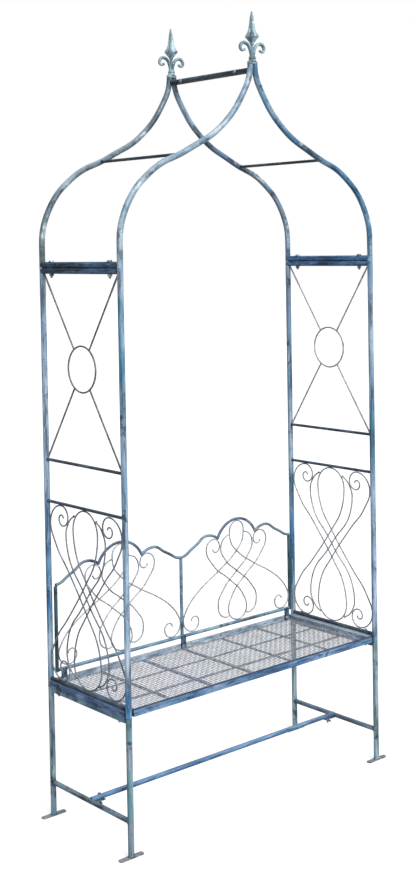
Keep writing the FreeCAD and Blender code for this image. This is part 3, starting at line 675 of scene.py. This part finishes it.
CROSS_BAR_R = 0.005
BAR_BEAD_R = 0.0015
bars_low, bars_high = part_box("side_cross_bars_left")
bottom_low, bottom_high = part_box("side_bottom_bar_left")
bottom_radius = (bottom_high.z - bottom_low.z) / 2
thin_bead = weld_bead("thin_bead", CROSS_BAR_R, BAR_BEAD_R, tube_radius, seed=4)
low_bead = weld_bead("low_bead", bottom_radius, BAR_BEAD_R, tube_radius, seed=5)
beads = bar_beads(low_bead, "side_bottom_bar_left", "side_bottom_bar_right")
for bars in ("side_cross_bars_left", "side_cross_bars_right"):
    for height in (bars_low.z + CROSS_BAR_R, bars_high.z - CROSS_BAR_R):
        beads += both_ends(thin_bead, middle(bars).x, height)
joined("side_bar_welds", beads, weld_paint, "bar_paint")
removed(thin_bead, low_bead)

spots = []
for side in ("left", "right"):
    ring_low, ring_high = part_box("side_ring_" + side)
    tie_low, tie_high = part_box("side_diagonals_" + side)
    centre = (ring_low + ring_high) / 2
    radius = (ring_high.z - ring_low.z) / 2
    for y in (tie_low.y, tie_high.y):
        for z in (tie_low.z, tie_high.z):
            outward = Vector((0, y - centre.y, z - centre.z)).normalized()
            spots.append(centre + outward * radius)
            spots.append(Vector((centre.x, y, z)) - outward * SPOT_WELD_R)
joined("ring_spot_welds", [copied(spot_weld, spot) for spot in spots], weld_paint, "bar_paint")


# ---- Arch joint -----------------------------------------------------------------------
# Each side has two tubes that meet at the arch joint, one above the other: the lower one
# is welded to the posts, the upper one to the hoops. Two M8 bolts hold them together.
# They are brushed in deep blue, with the dark ground left near the welds.
joint_paint = rubbed_paint("joint_paint", colour("101820"), colour("27466a"), colour("456c90"),
                           colour("8a9db6"), drift=colour("213a4c"), streak=(1, 0.4, 1),
                           patches=0.55, rubs=0.66)
clear_joint_paint = rubbed_paint("clear_joint_paint", colour("152438"), colour("2f649a"),
                                 colour("5484b2"), colour("93a6c4"), drift=colour("2c5480"),
                                 streak=(1, 0.4, 1), patches=0.57, rubs=0.65)
LEFT_JOINT = ("arch_base_bar_left", "side_top_bar_left")
RIGHT_JOINT = ("arch_base_bar_right", "side_top_bar_right")
coat(joint_paint, *LEFT_JOINT)
coat(clear_joint_paint, *RIGHT_JOINT)
JOINT_BEAD_R = 0.0016
SUNK = 0.93                                # the bead runs a little inside the tube's own size
joint_bead = weld_bead("joint_bead", tube_radius * SUNK, JOINT_BEAD_R, tube_radius, seed=6)
joined("joint_bar_welds", bar_beads(joint_bead, *LEFT_JOINT, *RIGHT_JOINT), weld_paint, "tube_paint")
removed(joint_bead)


# ---- Arch hoops and tie rods ----------------------------------------------------------
# Four ogee hoops of 19 mm steel tube, bent cold and welded to the base bars. A plain rod
# ties each half's two hoops together. Slate near the ridge, pale blue lower down.
HOOP_STREAK = (0.35, 1, 0.35)
for hoop, dark, body, bright, drift in (
        ("front_left", "2c3a46", "7a94a8", "b4c5d0", "5f7c90"),
        ("front_right", "1e3040", "4b7da4", "86a9c2", "44687f"),
        ("back_left", "232d33", "566b78", "8498a2", "4f5f62"),
        ("back_right", "232e38", "5c7c98", "92aabd", "56666e")):
    hoop_paint = rubbed_paint("hoop_paint_" + hoop, colour(dark), colour(body), colour(bright),
                              colour("d6dde5"), drift=colour(drift), streak=HOOP_STREAK,
                              patches=0.59, rubs=0.61)
    coat(hoop_paint, "arch_hoop_" + hoop)
ridge_paint = rubbed_paint("ridge_paint", colour("151b20"), colour("2a3945"), colour("42555f"),
                           colour("7f8c98"), streak=(1, 0.4, 1), patches=0.55, rubs=0.67)
coat(ridge_paint, "ridge_tube_left", "ridge_tube_right", "arch_tie_rods")

tie_low, tie_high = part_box("arch_tie_rods")
tie_bead = weld_bead("tie_bead", CROSS_BAR_R, BAR_BEAD_R, tube_radius, seed=8)
tie_z = (tie_low.z + tie_high.z) / 2
joined("tie_rod_welds", [end for x in (tie_low.x + CROSS_BAR_R, tie_high.x - CROSS_BAR_R)
                         for end in both_ends(tie_bead, x, tie_z)],
       weld_paint, "bar_paint")
removed(tie_bead, spot_weld)


# ---- Finials --------------------------------------------------------------------------
# Cast iron: a concave four-ribbed spear on a banded stem, between two curled leaves, on a
# collar that caps the pair of hoop ends. The paint is a pale verdigris, rubbed on ribs.
finial_paint = rubbed_paint("finial_paint", colour("33454d"), colour("8aa4ac"), colour("b4c8cd"),
                            colour("e6edef"), drift=colour("6d8c99"), streak=(0.6, 0.6, 0.4),
                            patches=0.62, rubs=0.57)
# Height over the foot of the stem, and radius.
STEM_RINGS = ((0.000, 0.0100), (0.002, 0.0105), (0.004, 0.0090), (0.006, 0.0060), (0.017, 0.0050),
              (0.036, 0.0044), (0.040, 0.0048), (0.042, 0.0066), (0.044, 0.0072), (0.046, 0.0066),
              (0.048, 0.0048))
SPEAR_RINGS = ((0.045, 0.0060), (0.050, 0.0100), (0.058, 0.0165), (0.067, 0.0238), (0.072, 0.0205),
               (0.080, 0.0150), (0.091, 0.0115), (0.105, 0.0092), (0.119, 0.0074), (0.134, 0.0052),
               (0.145, 0.0030), (0.148, 0.0010))
STEM_SIDES = 20
SPEAR_SIDES = 16
# How far the spear's flat sides are pressed in, and between which values of squareness.
FLAT_MIDDLE = (0.52, 0.98, 1.01)
FLAT_EDGE = (0.702, 0.90, 0.98)


def stacked(name, rings, sides):
    """Turned shape round the Z axis, grown from a flat disc, ring after ring."""
    height, radius = rings[0]
    bpy.ops.mesh.primitive_circle_add(vertices=sides, radius=radius, fill_type="NGON",
                                      location=(0, 0, height))
    piece = bpy.context.object
    piece.name = name
    bpy.ops.object.mode_set(mode="EDIT")
    for next_height, next_radius in rings[1:]:
        bpy.ops.mesh.extrude_region_move(
            TRANSFORM_OT_translate={"value": (0, 0, next_height - height)})
        grow = next_radius / radius
        bpy.ops.transform.resize(value=(grow, grow, 1), center_override=(0, 0, next_height))
        height, radius = next_height, next_radius
    bpy.ops.object.mode_set(mode="OBJECT")
    return closed(piece)


def squareness(place):
    """1 in the middle of a spear's flat side, less towards its ribs."""
    return max(abs(place.x), abs(place.y)) / max(math.hypot(place.x, place.y), 1e-6)


def both_finials(*parts, flips=((1, 1, 1),)):
    """Copies of a finial's parts at the front and at the back."""
    return [copied(part, (0, way * finial_y, 0), flip=flip)
            for part in parts for way in (-1, 1) for flip in flips]


stem_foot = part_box("finial_spears")[0].z
finial_y = middle("arch_hoop_back_left").y
stem = stacked("stem", [(stem_foot + rise, radius) for rise, radius in STEM_RINGS], STEM_SIDES)
head = stacked("head", [(stem_foot + rise, radius) for rise, radius in SPEAR_RINGS], SPEAR_SIDES)
for depth, least, most in (FLAT_MIDDLE, FLAT_EDGE):
    pick(head, lambda vertex: least < squareness(vertex.co) <= most)
    bpy.ops.transform.resize(value=(depth, depth, 1), center_override=(0, 0, 0))
    bpy.ops.object.mode_set(mode="OBJECT")
closed(head, angle=25)
joined("finial_spear_points", both_finials(stem, head), finial_paint, "cast_finial", "finial_spears")
removed(stem, head)

# A leaf curls through arcs of a radius, a sweep in degrees and a number of steps, and its
# thickness changes from one size to the next along each of them.
LEAF_ARCS = ((0.075, 22, 5), (0.026, 68, 8), (0.0165, 92, 8), (0.0095, 125, 8), (0.0050, 30, 2))
LEAF_SIZES = (0.0036, 0.0048, 0.0058, 0.0048, 0.0030, 0.0030)
LEAF_SIDES = 12
LEAF_WIDTH = 1.25
LEAF_FOOT = (0.0060, 0.0, stem_foot + 0.001)
KNOB_R = 0.0050
KNOB_WIDTH = 1.15

bpy.ops.mesh.primitive_circle_add(vertices=LEAF_SIDES, radius=LEAF_SIZES[0], fill_type="NGON",
                                  location=LEAF_FOOT)
leaf = bpy.context.object
leaf.name = "leaf"
bpy.ops.object.transform_apply(location=True, rotation=True, scale=True)
bpy.ops.object.mode_set(mode="EDIT")
bpy.ops.transform.resize(value=(1, LEAF_WIDTH, 1), center_override=LEAF_FOOT)
tip = Vector(LEAF_FOOT)
heading = 0.0
for (radius, sweep, steps), size, next_size in zip(LEAF_ARCS, LEAF_SIZES, LEAF_SIZES[1:]):
    step_angle = math.radians(sweep) / steps
    grow = (next_size / size) ** (1 / steps)
    for step in range(steps):
        centre = tip + radius * Vector((math.cos(heading), 0, -math.sin(heading)))
        bpy.ops.mesh.spin(steps=1, angle=step_angle, center=centre, axis=(0, -1, 0))
        heading += step_angle
        tip = centre - radius * Vector((math.cos(heading), 0, -math.sin(heading)))
        bpy.ops.transform.resize(value=(grow, grow, grow), center_override=tip)
bpy.ops.object.mode_set(mode="OBJECT")
closed(leaf, angle=60)
bpy.ops.mesh.primitive_uv_sphere_add(segments=16, ring_count=10, radius=KNOB_R, location=tip)
knob = bpy.context.object
bpy.ops.object.mode_set(mode="EDIT")
bpy.ops.transform.resize(value=(1, KNOB_WIDTH, 1), center_override=tip)
bpy.ops.object.mode_set(mode="OBJECT")
closed(knob, angle=80)
joined("finial_curled_leaves", both_finials(leaf, knob, flips=((-1, 1, 1), (1, 1, 1))),
       finial_paint, "cast_finial", "finial_leaves")
removed(leaf, knob)

# The cap is a round disc that is pulled apart sideways, and the banded cone stands on it.
collar_low, collar_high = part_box("finial_collars")
CAP_R = 0.0096
CAP_RINGS = ((0.0000, 0.0088), (0.0010, CAP_R), (0.0075, CAP_R), (0.0092, 0.0084))
CAP_SIDES = 32
CONE_RINGS = ((0.0082, 0.0125), (0.0115, 0.0130), (0.0135, 0.0112), (0.0165, 0.0104),
              (0.0185, 0.0122), (0.0205, 0.0122), (collar_high.z - collar_low.z, 0.0108))
CONE_SIDES = 28
cap = stacked("cap", [(collar_low.z + rise, radius) for rise, radius in CAP_RINGS], CAP_SIDES)
for way in (-1, 1):
    pick(cap, lambda vertex: vertex.co.x * way > 1e-5)
    bpy.ops.transform.translate(value=(way * (collar_high.x - CAP_R), 0, 0))
    bpy.ops.object.mode_set(mode="OBJECT")
closed(cap)
cone = stacked("cone", [(collar_low.z + rise, radius) for rise, radius in CONE_RINGS], CONE_SIDES)
joined("finial_cast_collars", both_finials(cap, cone), finial_paint, "cast_finial", "finial_collars")
removed(cap, cone)


# ---- Fasteners ------------------------------------------------------------------------
# Zinc-plated hex bolts with washers and nuts: M8 at the arch joint and M6 at the seat,
# the ridge and the back panel's tabs. The plating has gone dull and picked up paint.
bolt_paint = rubbed_paint("bolt_paint", colour("34383b"), colour("8b9297"), colour("b6bcc0"),
                          colour("e4e8ea"), drift=colour("6d7f8c"), patches=0.60, rubs=0.58,
                          metallic=0.5)
JOINT_BOLT_Y = 0.154
SEAT_BOLT_Y = 0.160
RIDGE_BOLT_Y = 0.137
TAB_BOLT_X = 0.505
TAB_BOLT_DROP = 0.008
M8 = {"shank": 0.008, "corners": 0.015, "head": 0.0053, "nut": 0.0065, "past_nut": 0.006}
M6 = {"shank": 0.006, "corners": 0.0115, "head": 0.004, "nut": 0.005, "past_nut": 0.003}
HEX_SIDES = 6
ROUND_SIDES = 16
WASHER_SIDES = 24
WASHER_RINGS = ((0.0, 1.28), (0.0009, 1.30))        # height, and radius as a share of the head's
HEAD_FOOT = 0.0006
HEAD_EDGE = (0.72, 0.82)                            # where the bevel starts, and its small end
NUT_EDGE = (0.14, 0.86)
SHANK_START = 0.0002
SHANK_END = 0.78
THREAD_PITCH = 0.00125
THREAD_ROOT = 0.86


def hex_bolt(name, size, grip):
    """Bolt that points down from a seat at the origin, in parts, and its nut."""
    shank_r = size["shank"] / 2
    corner_r = size["corners"] / 2
    shoulder, crown = HEAD_EDGE
    head = stacked(name + "_head", [(HEAD_FOOT, corner_r), (size["head"] * shoulder, corner_r),
                                    (size["head"], corner_r * crown)], HEX_SIDES)
    washer = stacked(name + "_washer", [(rise, corner_r * wide) for rise, wide in WASHER_RINGS],
                     WASHER_SIDES)
    end = grip + size["nut"] + size["past_nut"]
    rings = [(SHANK_START, shank_r), (-grip, shank_r)]
    depth = grip
    while depth < end - THREAD_PITCH:
        rings.append((-depth - THREAD_PITCH / 2, shank_r * THREAD_ROOT))
        rings.append((-depth - THREAD_PITCH, shank_r))
        depth += THREAD_PITCH
    rings.append((-end, shank_r * SHANK_END))
    rod = stacked(name + "_rod", rings, ROUND_SIDES)
    bevel, edge = NUT_EDGE
    nut = stacked(name + "_nut", [(-grip, corner_r * edge),
                                  (-grip - size["nut"] * bevel, corner_r),
                                  (-grip - size["nut"] * (1 - bevel), corner_r),
                                  (-grip - size["nut"], corner_r * edge)], HEX_SIDES)
    return (head, washer, rod), nut


base_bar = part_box("arch_base_bar_left")
top_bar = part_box("side_top_bar_left")
bottom_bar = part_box("side_bottom_bar_left")
leg_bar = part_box("leg_top_bars")
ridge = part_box("ridge_tube_left")
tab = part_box("back_panel_tabs")
back_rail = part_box("seat_back_rail")
joint_set = hex_bolt("joint", M8, base_bar[1].z - top_bar[0].z)
seat_set = hex_bolt("seat", M6, bottom_bar[1].z - leg_bar[0].z)
ridge_set = hex_bolt("ridge", M6, -2 * ridge[0].x)
tab_set = hex_bolt("tab", M6, back_rail[1].y - tab[0].y)

# Each bolt and nut, the place of its head's seat, and how it is turned from upright.
fastened = []
for x in (middle("side_top_bar_left").x, middle("side_top_bar_right").x):
    for end in (-1, 1):
        fastened.append((joint_set, (x, end * JOINT_BOLT_Y, base_bar[1].z), (0, 0, 0)))
        fastened.append((seat_set, (x, end * SEAT_BOLT_Y, bottom_bar[1].z), (0, 0, 0)))
for end in (-1, 1):
    fastened.append((ridge_set, (ridge[0].x, end * RIDGE_BOLT_Y, middle("ridge_tube_left").z),
                     (0, -math.pi / 2, 0)))
for x in (-TAB_BOLT_X, 0.0, TAB_BOLT_X):
    fastened.append((tab_set, (x, tab[0].y, back_rail[1].z - TAB_BOLT_DROP), (math.pi / 2, 0, 0)))
joined("hex_bolts", [copied(part, place, turned=lean)
                     for (bolt, nut), place, lean in fastened for part in bolt],
       bolt_paint, "hardware", "frame_bolts")
joined("hex_nuts", [copied(nut, place, turned=lean) for (bolt, nut), place, lean in fastened],
       bolt_paint, "hardware", "frame_nuts")
for bolt, nut in (joint_set, seat_set, ridge_set, tab_set):
    removed(*bolt, nut)
